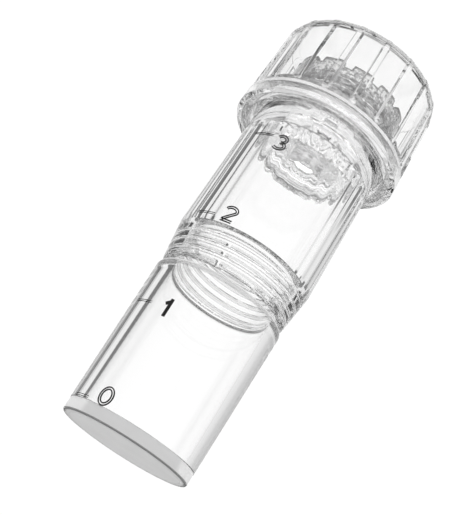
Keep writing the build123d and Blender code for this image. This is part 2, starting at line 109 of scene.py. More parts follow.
CAP_PITCH = 1.56 * MM
CAP_NECK = 5.23 * MM
CAP_THREAD_HEIGHT = 0.47 * MM
CAP_THREAD_START = 38.91 * MM
CAP_THREAD_TURNS = 2.0
CAP_INNER_TURNS = 1.5
CAP_ROOT = 0.7 * MM
CAP_CREST = 0.39 * MM
CAP_BOTTOM = 36.66 * MM
CAP_FOOT_RADIUS = 9.49 * MM
CAP_TOP_RADIUS = 9.12 * MM
CAP_ROUND = 1.09 * MM
CAP_WALL = 0.78 * MM
CAP_ROOF = 0.62 * MM
SKIRT_WALL = 0.66 * MM
SKIRT_TOP = 39.16 * MM
RIBS = 18
RIB_WIDTH = 0.9 * MM
RIB_HEIGHT = 0.31 * MM
RIB_FOOT = 1.79 * MM
RIB_AZIMUTH = 3.3
CAP_LIP_Z = CAP_BOTTOM + 0.1 * MM
RIM_Z = CAP_TOP - 1.33 * MM
RIM_RADIUS = CAP_TOP_RADIUS - 0.08 * MM
TAB_WIDTH = 1.25 * MM
TAB_DROP = 0.62 * MM
TAB_AZIMUTH = 78.0
# millimetres from here to TICK_EDGE
NUMERAL_HEIGHT = 1.87
NUMERAL_WIDTH = 1.52
PEN = 0.33
PEN_EDGE = 0.11
RELIEF = 0.06
TICK_LENGTH = 2.34
TICK_LINE = 0.22
TICK_EDGE = 0.04
# metres and degrees again
ZERO_MARK = 1.52 * MM
MARK_SPACING = 10.3 * MM
TICK_AZIMUTHS = (-59, -57, -48, -44)
NUMERAL_AZIMUTHS = (-34, -31.5, -28, -26)
NUMERAL_LIFTS = (0.7, 0, 0.43, -0.58)
INSERT_BORE = 5.82 * MM
INSERT_RADIUS = 6.37 * MM
INSERT_FLANGE_TOP = 39.12 * MM
INSERT_SLOTS = 12
INSERT_SLOT_WIDTH = 1.01 * MM
INSERT_SLOT_DEPTH = 0.62 * MM
RING_INNER = 7.91 * MM


# ---- turned meshes ---------------------------------------------------------------
THREAD_COLUMNS = 336
PLAIN_COLUMNS = 240


def even(count):
    """Column angles spaced evenly round Z."""
    return [2 * pi * k / count for k in range(count)]


def arc(centre, radius, start, end, steps=6):
    """Points of an arc in the (radius, height) plane; angles in degrees."""
    points = []
    for k in range(steps + 1):
        a = radians(start + (end - start) * k / steps)
        points.append((centre[0] + radius * cos(a), centre[1] + radius * sin(a)))
    return points


def eased(before, corner, after, radius, steps=5):
    """The points that round one corner of an outline."""
    a = Vector(before) - Vector(corner)
    b = Vector(after) - Vector(corner)
    half = a.angle(b) / 2
    run = radius / tan(half)
    middle = Vector(corner) + (a.normalized() + b.normalized()).normalized() * radius / sin(half)
    first = Vector(corner) + a.normalized() * run - middle
    turn = first.angle_signed(Vector(corner) + b.normalized() * run - middle)
    start = atan2(first.y, first.x)
    return [
        (middle.x + radius * cos(start - turn * k / steps),
         middle.y + radius * sin(start - turn * k / steps))
        for k in range(steps + 1)
    ]


def held(points, close=0.04 * MM):
    """Extra points at both ends of each long straight run, so that smooth shading leaves it straight."""
    kept = []
    for first, second in zip(points, points[1:]):
        a = Vector(first)
        b = Vector(second)
        run = (b - a).length
        kept.append(first)
        if run > 20 * close:
            kept.append(tuple(a.lerp(b, close / run)))
            kept.append(tuple(b.lerp(a, close / run)))
    return kept + [points[-1]]


def outline(*corners):
    """An open (radius, height) line; a third number rounds that corner."""
    points = [corners[0][:2]]
    for before, corner, after in zip(corners, corners[1:], corners[2:]):
        if len(corner) == 3:
            points += eased(before[:2], corner[:2], after[:2], corner[2])
        else:
            points.append(corner)
    return held(points + [corners[-1][:2]])


def wrap(mesh, angles, column, lead=0):
    """Quads between neighbouring columns of (radius, height) points.

    On a helix, lead is how many rows the last column is ahead of the first.
    """
    rings = []
    for a in angles:
        rings.append([mesh.verts.new((r * cos(a), r * sin(a), z)) for r, z in column(a)])
    for k, ring in enumerate(rings):
        shift = lead if k + 1 == len(rings) else 0
        following = rings[(k + 1) % len(rings)]
        for j in range(len(ring) - 1 - shift):
            mesh.faces.new((
                ring[j], following[j + shift], following[j + shift + 1], ring[j + 1],
            ))


def plain(points):
    """A column that is the same all round."""
    return lambda angle: points


def fade(turn, turns, share=0.12):
    """How much of a thread stands at a place along it: it runs in and out at its ends."""
    ends = min(turn, turns - turn) / share
    return max(0.0, min(1.0, ends))


def thread(radius, height, pitch, start, turns, widths, zone, gap=None):
    """Columns of a threaded wall between two heights, and how many rows make one turn."""
    root, crest = widths
    soft = crest * 0.2
    section = (
        (-root / 2, 0.0), (-root / 2 + soft, 0.1), (-crest / 2 - soft / 2, 0.88), (-crest / 2 + soft, 1.0),
        (crest / 2 - soft, 1.0), (crest / 2 + soft / 2, 0.88), (root / 2 - soft, 0.1), (root / 2, 0.0),
    )
    low, high = zone
    first = floor((low - start) / pitch) - 1
    last = ceil((high - start) / pitch) + 1

    def column(angle):
        points = []
        for k in range(first, last):
            turn = k + angle / (2 * pi)
            stand = height * fade(turn, turns)
            if gap and gap(angle):
                stand = 0.0
            for offset, share in section:
                z = start + pitch * turn + offset
                inside = low < z < high
                points.append((radius + (stand * share if inside else 0.0), min(max(z, low), high)))
        return points

    return column, len(section)


def fluted(radius, count):
    """Radius of a bore with soft flutes at an angle, as deep as the corners of its many-sided solid."""
    depth = radius / cos(pi / count) - radius
    return lambda angle: radius + depth * (1 - cos(count * angle)) / 2


def piece(name, mesh, material, body, replaced, sharp=20):
    """Close, smooth and place a mesh, and hide the CAD node that it stands in for."""
    bmesh.ops.remove_doubles(mesh, verts=mesh.verts, dist=0.0005 * MM)
    bmesh.ops.dissolve_degenerate(mesh, edges=mesh.edges, dist=0.0002 * MM)
    bmesh.ops.recalc_face_normals(mesh, faces=mesh.faces)
    data = bpy.data.meshes.new(name)
    mesh.to_mesh(data)
    mesh.free()
    data.polygons.foreach_set("use_smooth", [True] * len(data.polygons))
    data.set_sharp_from_angle(angle=radians(sharp))
    data.materials.append(material)
    made = bpy.data.objects.new(name, data)
    bpy.context.scene.collection.objects.link(made)
    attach(made, body)
    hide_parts(replaced)
    return made


# ---- materials ---------------------------------------------------------------------
def new_material(name):
    material = bpy.data.materials.new(name)
    material.use_nodes = True
    tree = material.node_tree
    return material, tree.nodes, tree.links, tree.nodes["Principled BSDF"]


def add_noise(tree_nodes, links, scale, detail=3.0):
    """Noise in object space, scale in features per metre."""
    place = tree_nodes.new("ShaderNodeTexCoord")
    noise = tree_nodes.new("ShaderNodeTexNoise")
    noise.inputs["Scale"].default_value = scale
    noise.inputs["Detail"].default_value = detail
    links.new(place.outputs["Object"], noise.inputs["Vector"])
    return noise


def ranged(tree_nodes, links, value, low, high):
    """Map a 0 to 1 value on to a range."""
    span = tree_nodes.new("ShaderNodeMapRange")
    span.inputs["To Min"].default_value = low
    span.inputs["To Max"].default_value = high
    links.new(value, span.inputs["Value"])
    return span.outputs["Result"]


def bumped(tree_nodes, links, shader, value, strength, distance):
    bump = tree_nodes.new("ShaderNodeBump")
    bump.inputs["Strength"].default_value = strength
    bump.inputs["Distance"].default_value = distance
    links.new(value, bump.inputs["Height"])
    links.new(bump.outputs["Normal"], shader.inputs["Normal"])


def graded(tree_nodes, links, factor, first, second):
    """Mix two colours by a factor."""
    mix = tree_nodes.new("ShaderNodeMix")
    mix.data_type = "RGBA"
    mix.inputs["A"].default_value = (*first, 1)
    mix.inputs["B"].default_value = (*second, 1)
    links.new(factor, mix.inputs["Factor"])
    return mix.outputs["Result"]


def stepped(tree_nodes, links, value, low, high):
    """A smooth step of a value from 0 at low to 1 at high."""
    step = tree_nodes.new("ShaderNodeMapRange")
    step.interpolation_type = "SMOOTHSTEP"
    step.inputs["From Min"].default_value = low
    step.inputs["From Max"].default_value = high
    links.new(value, step.inputs["Value"])
    return step.outputs["Result"]


def product(tree_nodes, links, *values):
    """Multiply several 0 to 1 values together."""
    total = values[0]
    for value in values[1:]:
        both = tree_nodes.new("ShaderNodeMath")
        both.operation = "MULTIPLY"
        links.new(total, both.inputs[0])
        links.new(value, both.inputs[1])
        total = both.outputs["Value"]
    return total


def toned(tree_nodes, links, colour, share, value):
    """A colour mixed towards a grey value by a 0 to 1 share."""
    mix = tree_nodes.new("ShaderNodeMix")
    mix.data_type = "RGBA"
    mix.inputs["B"].default_value = (value, value, value, 1)
    links.new(colour, mix.inputs["A"])
    links.new(share, mix.inputs["Factor"])
    return mix.outputs["Result"]


def blended(tree_nodes, links, share, first, second):
    """One brightness turning into another by a 0 to 1 share."""
    mix = tree_nodes.new("ShaderNodeMix")
    mix.data_type = "RGBA"
    links.new(share, mix.inputs["Factor"])
    links.new(first, mix.inputs["A"])
    links.new(second, mix.inputs["B"])
    return mix.outputs["Result"]


def turned(tree_nodes, links):
    """Distance from the Z axis, and height, of the point being shaded."""
    place = tree_nodes.new("ShaderNodeTexCoord")
    axes = tree_nodes.new("ShaderNodeSeparateXYZ")
    links.new(place.outputs["Object"], axes.inputs["Vector"])
    flat = tree_nodes.new("ShaderNodeVectorMath")
    flat.operation = "MULTIPLY"
    flat.inputs[1].default_value = (1, 1, 0)
    links.new(place.outputs["Object"], flat.inputs[0])
    radius = tree_nodes.new("ShaderNodeVectorMath")
    radius.operation = "LENGTH"
    links.new(flat.outputs["Vector"], radius.inputs[0])
    return radius.outputs["Value"], axes.outputs["Z"]


def lined(tree_nodes, links, colour, rings):
    """Grey rings on a turned part: inner and outer radius, lower and upper height, brightness."""
    radius, height = turned(tree_nodes, links)
    soft = 0.02 * MM
    for inner, outer, low, high, value in rings:
        share = product(
            tree_nodes, links,
            stepped(tree_nodes, links, radius, inner - soft, inner),
            stepped(tree_nodes, links, radius, outer + soft, outer),
            stepped(tree_nodes, links, height, low - soft, low),
            stepped(tree_nodes, links, height, high + soft, high),
        )
        colour = toned(tree_nodes, links, colour, share, value)
    return colour


def clear_plastic(name, face, edge, rough, ripple, index=1.49, size=200, rings=(), blend=0.25, speck=1.0):
    """Moulded clear plastic: a slight flow ripple, and painted shade, a tint that darkens at grazing
    angles so that outlines show dark.

    Rings draw mould lines, and painted shade along edges, and a speck below 1 strews darker flecks over
    the faces.
    """
    material, n, links, shader = new_material(name)
    shader.inputs["Transmission Weight"].default_value = 1.0
    shader.inputs["IOR"].default_value = index
    weight = n.new("ShaderNodeLayerWeight")
    weight.inputs["Blend"].default_value = blend
    # painted shade: the colour darkens from the face value to the edge value as the surface turns away
    colour = graded(n, links, weight.outputs["Facing"], (face, face, face), (edge, edge, edge))
    if rings:
        colour = lined(n, links, colour, rings)
    if speck < 1.0:
        specks = add_noise(n, links, 2600, 2.0)
        colour = toned(n, links, colour, stepped(n, links, specks.outputs["Fac"], 0.5, 0.56), speck)
    links.new(colour, shader.inputs["Base Color"])
    if rough > 0:
        fine = add_noise(n, links, 1150)
        uneven = ranged(n, links, fine.outputs["Fac"], rough * 0.5, rough * 1.5)
        links.new(uneven, shader.inputs["Roughness"])
    else:
        shader.inputs["Roughness"].default_value = 0.0
    flow = add_noise(n, links, size, 1.0)
    bumped(n, links, shader, flow.outputs["Fac"], ripple, 0.05 * MM)
    return material


def frosted_plastic(name, colour, shade):
    """Etched disc: pale face with painted shade in a dark line round its rim and one inside it, and a side
    painted lighter against the floor's shade and white at grazing angles, a painted highlight.
    """
    material, n, links, shader = new_material(name)
    shader.inputs["Transmission Weight"].default_value = 0.2
    shader.inputs["IOR"].default_value = 1.45
    grain = add_noise(n, links, 6600, 4.0)
    cloud = add_noise(n, links, 330)
    face = graded(n, links, cloud.outputs["Fac"], colour, shade)
    radius, height = turned(n, links)
    side = stepped(n, links, height, 0.15 * MM, 0.2 * MM)
    weight = n.new("ShaderNodeLayerWeight")
    weight.inputs["Blend"].default_value = 0.5
    ends = product(n, links, side, stepped(n, links, weight.outputs["Facing"], 0.33, 0.42))
    # painted light: the side is made lighter, to make up for the shade the floor casts on it
    face = toned(n, links, face, side, 0.8)
    # painted highlight: the side turns white where it faces away at grazing angles
    face = toned(n, links, face, ends, 1.0)
    # painted shade: a dark ring on the rounded rim and a fainter one on the face, where a bevel's edges
    # show dark
    face = lined(n, links, face, (
        (6.5 * MM, 7 * MM, -1 * MM, 0.13 * MM, 0.3),
        (5.95 * MM, 6.05 * MM, -1 * MM, 0.02 * MM, 0.45),
    ))
    links.new(face, shader.inputs["Base Color"])
    links.new(ranged(n, links, grain.outputs["Fac"], 0.35, 0.6), shader.inputs["Roughness"])
    bumped(n, links, shader, grain.outputs["Fac"], 0.15, 0.008 * MM)
    return material


def bright_steel(name, colour):
    material, n, links, shader = new_material(name)
    shader.inputs["Metallic"].default_value = 1.0
    shader.inputs["Base Color"].default_value = (*colour, 1)
    grain = add_noise(n, links, 3000)
    links.new(ranged(n, links, grain.outputs["Fac"], 0.15, 0.35), shader.inputs["Roughness"])
    bumped(n, links, shader, grain.outputs["Fac"], 0.1, 0.005 * MM)
    return material


def edge_shade_paint(name, colour):
    """Near-black paint for the raised marks, painted shade where their edges show dark, with a faintly
    uneven face.
    """
    material, n, links, shader = new_material(name)
    grain = add_noise(n, links, 4000)
    worn = [c * 1.6 + 0.01 for c in colour]
    links.new(graded(n, links, grain.outputs["Fac"], colour, worn), shader.inputs["Base Color"])
    shader.inputs["Roughness"].default_value = 0.6
    shader.inputs["Specular IOR Level"].default_value = 0.15
    return material


JOINT_CREST_RADIUS = JOINT_MINOR + JOINT_HEIGHT
CAP_CREST_RADIUS = CAP_NECK + CAP_THREAD_HEIGHT
INSERT_CREST_RADIUS = INSERT_BORE - CAP_THREAD_HEIGHT
SKIN = 0.05 * MM
EDGE = 0.1 * MM
NECK_RING = (JOINT_CREST_RADIUS - 0.04 * MM, JOINT_CREST_RADIUS + 0.04 * MM)
# inner and outer radius, lower and upper height, brightness
BODY_RINGS = (
    # painted shade along the crest of the neck thread, the top corner of the socket and the crest of the
    # cap thread, and a mould line in the bore
    (*NECK_RING, SHOULDER_Z + EDGE, NECK_TOP - EDGE, 0.62),
    (SOCKET - SKIN, SOCKET + EDGE, SOCKET_TOP - EDGE, SOCKET_TOP + EDGE, 0.45),
    (CAP_CREST_RADIUS - SKIN, CAP_CREST_RADIUS + SKIN, CAP_THREAD_START, BARREL_TOP, 0.5),
    (BORE - EDGE, BORE + EDGE, 16.75 * MM, 16.87 * MM, 0.6),
)
INSERT_RINGS = (
    # painted shade along the castellated top and the crest of the inner thread
    (5 * MM, 7 * MM, INSERT_TOP - 0.12 * MM, INSERT_TOP + EDGE, 0.1),
    (INSERT_CREST_RADIUS - SKIN, INSERT_CREST_RADIUS + SKIN, INSERT_BOTTOM, INSERT_TOP, 0.35),
)
PLUG_RINGS = (
    # painted shade along the lower edge, and the edge under the head
    (5.42 * MM, 6 * MM, PLUG_BOTTOM - EDGE, PLUG_BOTTOM + 0.04 * MM, 0.4),
    (5.3 * MM, 6 * MM, PLUG_LEDGE - 0.06 * MM, PLUG_LEDGE + EDGE, 0.1),
)
# the two numbers after each name are the face colour and the painted shade it darkens to at grazing angles
CLEAR = clear_plastic("clear_body", 1.0, 0.85, 0.0, 0.05, rings=BODY_RINGS)
CLEAR_CAP = clear_plastic("clear_cap", 1.0, 0.85, 0.0, 0.08)
CLEAR_INSERT = clear_plastic(
    "clear_insert", 0.88, 0.1, 0.02, 1.0, size=3000, blend=0.4, speck=0.25, rings=INSERT_RINGS,
)
VALVE = clear_plastic("valve_plastic", 1.0, 0.8, 0.0, 0.05)
PLUG = clear_plastic("valve_plug", 1.0, 0.9, 0.0, 0.05, rings=PLUG_RINGS)
SILICONE = clear_plastic("silicone", 1.0, 0.9, 0.02, 0.1, 1.41)
FROSTED = frosted_plastic("frosted_base", (0.6, 0.6, 0.6), (0.5, 0.5, 0.5))
STEEL = bright_steel("steel", (0.62, 0.62, 0.63))
# painted shade: near-black for the raised marks, whose edges show dark
MARK_SHADE = edge_shade_paint("scale_print", (0.008, 0.008, 0.008))


# ---- lower container ------------------------------------------------------------------
def make_base():
    mesh = bmesh.new()
    points = outline(
        (0, 0), (BASE_RADIUS, 0, 0.17 * MM), (BASE_RADIUS, BASE_TOP - WELD, 0.03 * MM),
        (0, BASE_TOP - WELD),
    )
    wrap(mesh, even(PLAIN_COLUMNS), plain(points))
    return piece("frosted_base", mesh, FROSTED, "container_body", "base_disc")


def in_vent(angle):
    """True where the vent slot cuts through the neck thread."""
    azimuth = degrees(angle) + 90
    away = abs((azimuth - VENT_AZIMUTH + 180) % 360 - 180)
    return radians(away) * (JOINT_MINOR + JOINT_HEIGHT) < VENT_WIDTH / 2


def make_container():
    mesh = bmesh.new()
    angles = even(THREAD_COLUMNS)
    points = outline(
        (JOINT_MINOR, NECK_TOP - LEAD_IN), (JOINT_MINOR, NECK_TOP, 0.07 * MM),
        (BORE, NECK_TOP, 0.08 * MM), (BORE, BASE_TOP, 0.1 * MM), (FOOT_RADIUS, BASE_TOP, 0.06 * MM),
        (SHOULDER_RADIUS, SHOULDER_Z, SHOULDER_ROUND), (JOINT_MINOR, SHOULDER_Z),
    )
    wrap(mesh, angles, plain(points))
    column, lead = thread(
        JOINT_MINOR, JOINT_HEIGHT, JOINT_PITCH, JOINT_START, JOINT_TURNS,
        (JOINT_ROOT, JOINT_CREST), (SHOULDER_Z, NECK_TOP - LEAD_IN), in_vent,
    )
    wrap(mesh, angles, column, lead)
    return piece("container_shell", mesh, CLEAR, "container_body", "container")


# ---- upper barrel ------------------------------------------------------------------------
def make_barrel():
    mesh = bmesh.new()
    angles = even(THREAD_COLUMNS)
    female_start = JOINT_START + JOINT_PITCH / 2
    turns = (SOCKET_TOP - JOINT_ROOT - female_start) / JOINT_PITCH
    socket, lead = thread(
        SOCKET, -JOINT_HEIGHT, JOINT_PITCH, female_start, turns,
        (JOINT_ROOT, JOINT_CREST), (LIP_Z, SOCKET_TOP),
    )
    wrap(mesh, angles, socket, lead)
    outer = outline(
        (SOCKET, LIP_Z), (LIP_RADIUS, LIP_Z, LIP_ROUND), (WAIST_RADIUS, SOCKET_TOP, 3 * MM),
        (BARREL_RADIUS, BEAD_BOTTOM, 0.08 * MM), (BEAD_RADIUS, BEAD_BOTTOM, BEAD_ROUND),
        (BEAD_RADIUS, BEAD_TOP, BEAD_ROUND), (CAP_NECK, BEAD_TOP),
    )
    wrap(mesh, angles, plain(outer))
    male, lead = thread(
        CAP_NECK, CAP_THREAD_HEIGHT, CAP_PITCH, CAP_THREAD_START, CAP_THREAD_TURNS,
        (CAP_ROOT, CAP_CREST), (BEAD_TOP, BARREL_TOP - LEAD_IN),
    )
    wrap(mesh, angles, male, lead)
    ledge = BORE - 0.15 * MM
    mouth = outline(
        (CAP_NECK, BARREL_TOP - LEAD_IN), (CAP_NECK, BARREL_TOP, 0.07 * MM),
        (HEAD_BORE, BARREL_TOP, 0.06 * MM), (HEAD_BORE, HEAD_FLOOR, 0.08 * MM), (ledge, HEAD_FLOOR),
    )
    wrap(mesh, angles, plain(mouth))
    wall = fluted(BORE, FLUTES)

    def bore(angle):
        radius = wall(angle)
        return [(ledge, HEAD_FLOOR), (radius, HEAD_FLOOR), (radius, SOCKET_TOP), (SOCKET, SOCKET_TOP)]

    wrap(mesh, angles, bore)
    return piece("barrel_shell", mesh, CLEAR, "barrel_body", "upper_barrel", 9)


# ---- raised marks, with painted shade along their edges ----------------------------------
LOWER_WALL = ((BASE_TOP, FOOT_RADIUS), (SHOULDER_Z, SHOULDER_RADIUS))
UPPER_WALL = ((SOCKET_TOP, WAIST_RADIUS), (BEAD_BOTTOM, BARREL_RADIUS))


def wall_at(z, wall):
    """Radius of a tapered wall at a height."""
    low, high = wall
    return low[1] + (high[1] - low[1]) * (z - low[0]) / (high[0] - low[0])


def bowl(middle, wide, tall, start, end, steps=18):
    """Points round part of an ellipse."""
    turns = [radians(start + (end - start) * k / steps) for k in range(steps + 1)]
    return [(middle[0] + wide * cos(a), middle[1] + tall * sin(a)) for a in turns]


def band(mesh, line, left, right, place, wall, closed=False):
    """A raised strip between two offsets from a flat line, wrapped on the wall."""
    azimuth, height = place
    line = [Vector(p) for p in line]
    rings = []
    for k, point in enumerate(line):
        before = line[k - 1] if k or closed else line[k]
        after = line[(k + 1) % len(line)] if k + 1 < len(line) or closed else line[k]
        back = (point - before).normalized()
        ahead = (after - point).normalized()
        along = (back + ahead).normalized()
        side = Vector((-along.y, along.x))
        stretch = 1 / max(0.6, along.dot(ahead) or along.dot(back))
        ring = []
        for offset, stand in ((left, -0.02), (left, RELIEF), (right, RELIEF), (right, -0.02)):
            spot = (point + side * offset * stretch) * MM
            z = height + spot.y
            radius = wall_at(z, wall) + stand * MM
            angle = radians(azimuth - 90) + spot.x / radius
            ring.append(mesh.verts.new((radius * cos(angle), radius * sin(angle), z)))
        rings.append(ring)
    for k, ring in enumerate(rings if closed else rings[:-1]):
        following = rings[(k + 1) % len(rings)]
        for j in range(4):
            mesh.faces.new((ring[j], following[j], following[(j + 1) % 4], ring[(j + 1) % 4]))
    if not closed:
        mesh.faces.new(rings[0])
        mesh.faces.new(rings[-1])


def even_line(points, step=0.12):
    """A polyline cut into short straight runs so that it can follow a round wall."""
    cut = [points[0]]
    for a, b in zip(points, points[1:]):
        count = max(1, round(hypot(b[0] - a[0], b[1] - a[1]) / step))
        for k in range(1, count + 1):
            cut.append((a[0] + (b[0] - a[0]) * k / count, a[1] + (b[1] - a[1]) * k / count))
    return cut


def digit_lines(digit):
    """Centre lines of the pen strokes of a numeral, in millimetres."""
    w = (NUMERAL_WIDTH - PEN) / 2
    h = (NUMERAL_HEIGHT - PEN) / 2
    if digit == 1:
        stem = [(0.2 * w, -NUMERAL_HEIGHT / 2), (0.2 * w, NUMERAL_HEIGHT / 2)]
        return [stem, [(-0.6 * w, 0.4 * h), (0.2 * w, 0.84 * h)]]
    if digit == 2:
        bow = bowl((0, h / 2), w, h / 2, 165, -30)
        return [bow + [(-0.84 * w, -0.92 * h)], [(-w, -h), (w, -h)]]
    return [bowl((0, h / 2), 0.84 * w, h / 2, 150, -90), bowl((0, -h / 2), w, h / 2, 90, -150)]


def make_shaded_marks(name, numbers, wall, body, replaced):
    """Graduations: ticks with moulded edges, open numerals drawn by their edges, and one solid one, all in
    near-black painted shade where raised edges show dark.
    """
    mesh = bmesh.new()
    for number in numbers:
        height = ZERO_MARK + number * MARK_SPACING
        place = (TICK_AZIMUTHS[number], height)
        tick = even_line([(-TICK_LENGTH / 2, 0), (TICK_LENGTH / 2, 0)])
        # painted shade: each tick is two dark bands, one along each edge
        for edge in (-TICK_LINE / 2, TICK_LINE / 2 - TICK_EDGE):
            band(mesh, tick, edge, edge + TICK_EDGE, place, wall)
        place = (NUMERAL_AZIMUTHS[number], height + NUMERAL_LIFTS[number] * MM)
        if number == 0:
            ring = bowl((0, 0), (NUMERAL_WIDTH - PEN) / 2, (NUMERAL_HEIGHT - PEN) / 2, 0, 350, 35)
            band(mesh, ring, PEN / 2 - PEN_EDGE, PEN / 2, place, wall, True)
            band(mesh, ring, -PEN / 2, PEN_EDGE - PEN / 2, place, wall, True)
            continue
        for line in digit_lines(number):
            line = even_line(line)
            if number == 1:
                band(mesh, line, -PEN / 2, PEN / 2, place, wall)
                continue
            band(mesh, line, -PEN / 2, PEN_EDGE - PEN / 2, place, wall)
            band(mesh, line, PEN / 2 - PEN_EDGE, PEN / 2, place, wall)
    return piece(name, mesh, MARK_SHADE, body, replaced, 30)


# ---- cap -----------------------------------------------------------------------------------
def rib_angles():
    """Column angles of the ribbed wall: close together at each rib's sides."""
    pitch = 2 * pi / RIBS
    half = RIB_WIDTH / 2 / CAP_TOP_RADIUS
    soft = 0.1 * MM / CAP_TOP_RADIUS
    inner = [half - 3 * soft, half - 2 * soft, half - soft, half]
    offsets = [-half * 0.35, 0, half * 0.35]
    offsets = [-a for a in reversed(inner)] + offsets + inner
    gaps = 12
    offsets += [half + (pitch - 2 * half) * k / gaps for k in range(1, gaps)]
    start = radians(RIB_AZIMUTH - 90)
    return [(start + pitch * k + a) % (2 * pi) for k in range(RIBS) for a in offsets]


def tab_angles():
    """Extra columns at the sides of the index tab."""
    middle = radians(TAB_AZIMUTH - 90)
    half = TAB_WIDTH / 2 / CAP_FOOT_RADIUS
    soft = 0.12 * MM / CAP_FOOT_RADIUS
    return [(middle + a) % (2 * pi) for a in (-half, soft - half, half - soft, half)]


def from_rib(angle):
    """Distance along the wall from the middle of the nearest rib."""
    pitch = 2 * pi / RIBS
    away = (angle - radians(RIB_AZIMUTH - 90) + pitch / 2) % pitch - pitch / 2
    return abs(away) * CAP_TOP_RADIUS


def cap_radius(z):
    """Radius over the ribs of the tapered cap."""
    share = (z - CAP_BOTTOM) / (CAP_TOP - CAP_BOTTOM)
    return CAP_FOOT_RADIUS + (CAP_TOP_RADIUS - CAP_FOOT_RADIUS) * share


def cap_side(angle):
    """The cap's outside from the band up over the ribbed wall and the smooth rim to the flat top."""
    half = RIB_WIDTH / 2
    away = from_rib(angle)
    rise = max(0.0, min(1.0, (half - away) / (0.2 * MM)))
    rise = rise * rise * (3 - 2 * rise)
    foot = CAP_BOTTOM + RIB_FOOT
    start = foot + half - (half * half - min(away, half) ** 2) ** 0.5
    points = [
        (cap_radius(CAP_LIP_Z), CAP_LIP_Z),
        (CAP_FOOT_RADIUS, foot - RIB_HEIGHT - 0.05 * MM),
        (CAP_FOOT_RADIUS - 0.02 * MM, foot - RIB_HEIGHT + 0.05 * MM),
        (cap_radius(foot) - RIB_HEIGHT, foot - 0.03 * MM),
    ]
    rows = 12
    low = start + 0.15 * MM
    high = RIM_Z - 0.03 * MM
    points.append((cap_radius(start) - RIB_HEIGHT, start))
    for k in range(rows + 1):
        z = low + (high - low) * k / rows
        stand = RIB_HEIGHT * rise * (0.9 if k == 0 else 1.0)
        points.append((cap_radius(z) - RIB_HEIGHT + stand, z))
    shift = RIB_HEIGHT * (1 - rise)
    reached = max(RIM_RADIUS, cap_radius(RIM_Z) - shift)
    points.append((reached, RIM_Z))
    points.append((reached, RIM_Z + 0.1 * MM))
    crown = CAP_TOP - CAP_ROUND
    edge = max(RIM_RADIUS, CAP_TOP_RADIUS - shift)
    return points + arc((edge - CAP_ROUND, crown), CAP_ROUND, 0, 90, 12)


def near_tab(angle):
    """How much of the index tab stands at an angle, from 0 to 1."""
    azimuth = degrees(angle) + 90
    away = abs((azimuth - TAB_AZIMUTH + 180) % 360 - 180)
    side = (TAB_WIDTH / 2 - radians(away) * CAP_FOOT_RADIUS) / (0.12 * MM)
    return max(0.0, min(1.0, side))


def make_cap():
    mesh = bmesh.new()
    angles = sorted(rib_angles() + tab_angles())
    wrap(mesh, angles, cap_side)
    ceiling = CAP_TOP - CAP_ROOF
    inner = CAP_TOP_RADIUS - RIB_HEIGHT - CAP_WALL
    skirt = CAP_FOOT_RADIUS - SKIRT_WALL

    def inside(angle):
        rim = CAP_BOTTOM - TAB_DROP * near_tab(angle)
        return outline(
            (0, ceiling), (inner, ceiling, 0.5 * MM), (inner, SKIRT_TOP, 0.1 * MM), (skirt, SKIRT_TOP),
            (skirt, rim, 0.08 * MM), (CAP_FOOT_RADIUS, rim, 0.09 * MM),
            (cap_radius(CAP_LIP_Z), CAP_LIP_Z),
        )

    wrap(mesh, angles, inside)

    def roof(angle):
        return [cap_side(angle)[-1], (CAP_TOP_RADIUS * 0.6, CAP_TOP), (0, CAP_TOP)]

    wrap(mesh, angles, roof)
    return piece("cap_shell", mesh, CLEAR_CAP, "cap_body", "outer_cap", 25)


def make_ring():
    mesh = bmesh.new()
    low = bottom("cap_retaining_ring")
    high = top("cap_retaining_ring")
    wide = reach("cap_retaining_ring")
    middle = (low + high) / 2
    points = outline(
        (RING_INNER, middle), (RING_INNER, low, 0.3 * MM), (wide, low, 0.08 * MM),
        (wide, high, 0.05 * MM), (RING_INNER, high, 0.3 * MM), (RING_INNER, middle),
    )
    wrap(mesh, even(300), plain(points))
    return piece("rim_ring", mesh, CLEAR_CAP, "cap_body", "cap_retaining_ring")


def make_insert():
    mesh = bmesh.new()
    angles = even(360)
    slot_foot = INSERT_TOP - INSERT_SLOT_DEPTH - 0.1 * MM
    ease = 0.08 * MM
    inner, lead = thread(
        INSERT_BORE, -CAP_THREAD_HEIGHT, CAP_PITCH, CAP_THREAD_START + CAP_PITCH / 2, CAP_INNER_TURNS,
        (CAP_ROOT, CAP_CREST), (INSERT_BOTTOM, slot_foot),
    )
    wrap(mesh, angles, inner, lead)

    def upper_edge(angle):
        pitch = 2 * pi / INSERT_SLOTS
        away = abs((angle + pi / 2) % pitch - pitch / 2)
        in_slot = away * INSERT_RADIUS < INSERT_SLOT_WIDTH / 2
        return INSERT_TOP - (INSERT_SLOT_DEPTH if in_slot else 0)

    def outside(angle):
        high = upper_edge(angle)
        return [
            (INSERT_BORE, slot_foot), (INSERT_BORE, high - ease), (INSERT_BORE + ease, high),
            (INSERT_RADIUS - ease, high), (INSERT_RADIUS, high - ease), (INSERT_RADIUS, slot_foot),
            (INSERT_RADIUS, INSERT_FLANGE_TOP), (INSERT_REACH, INSERT_FLANGE_TOP),
            (INSERT_REACH, INSERT_BOTTOM), (INSERT_BORE, INSERT_BOTTOM),
        ]

    wrap(mesh, angles, outside)
    return piece("cap_insert", mesh, CLEAR_INSERT, "cap_body", "cap_thread_insert", 25)


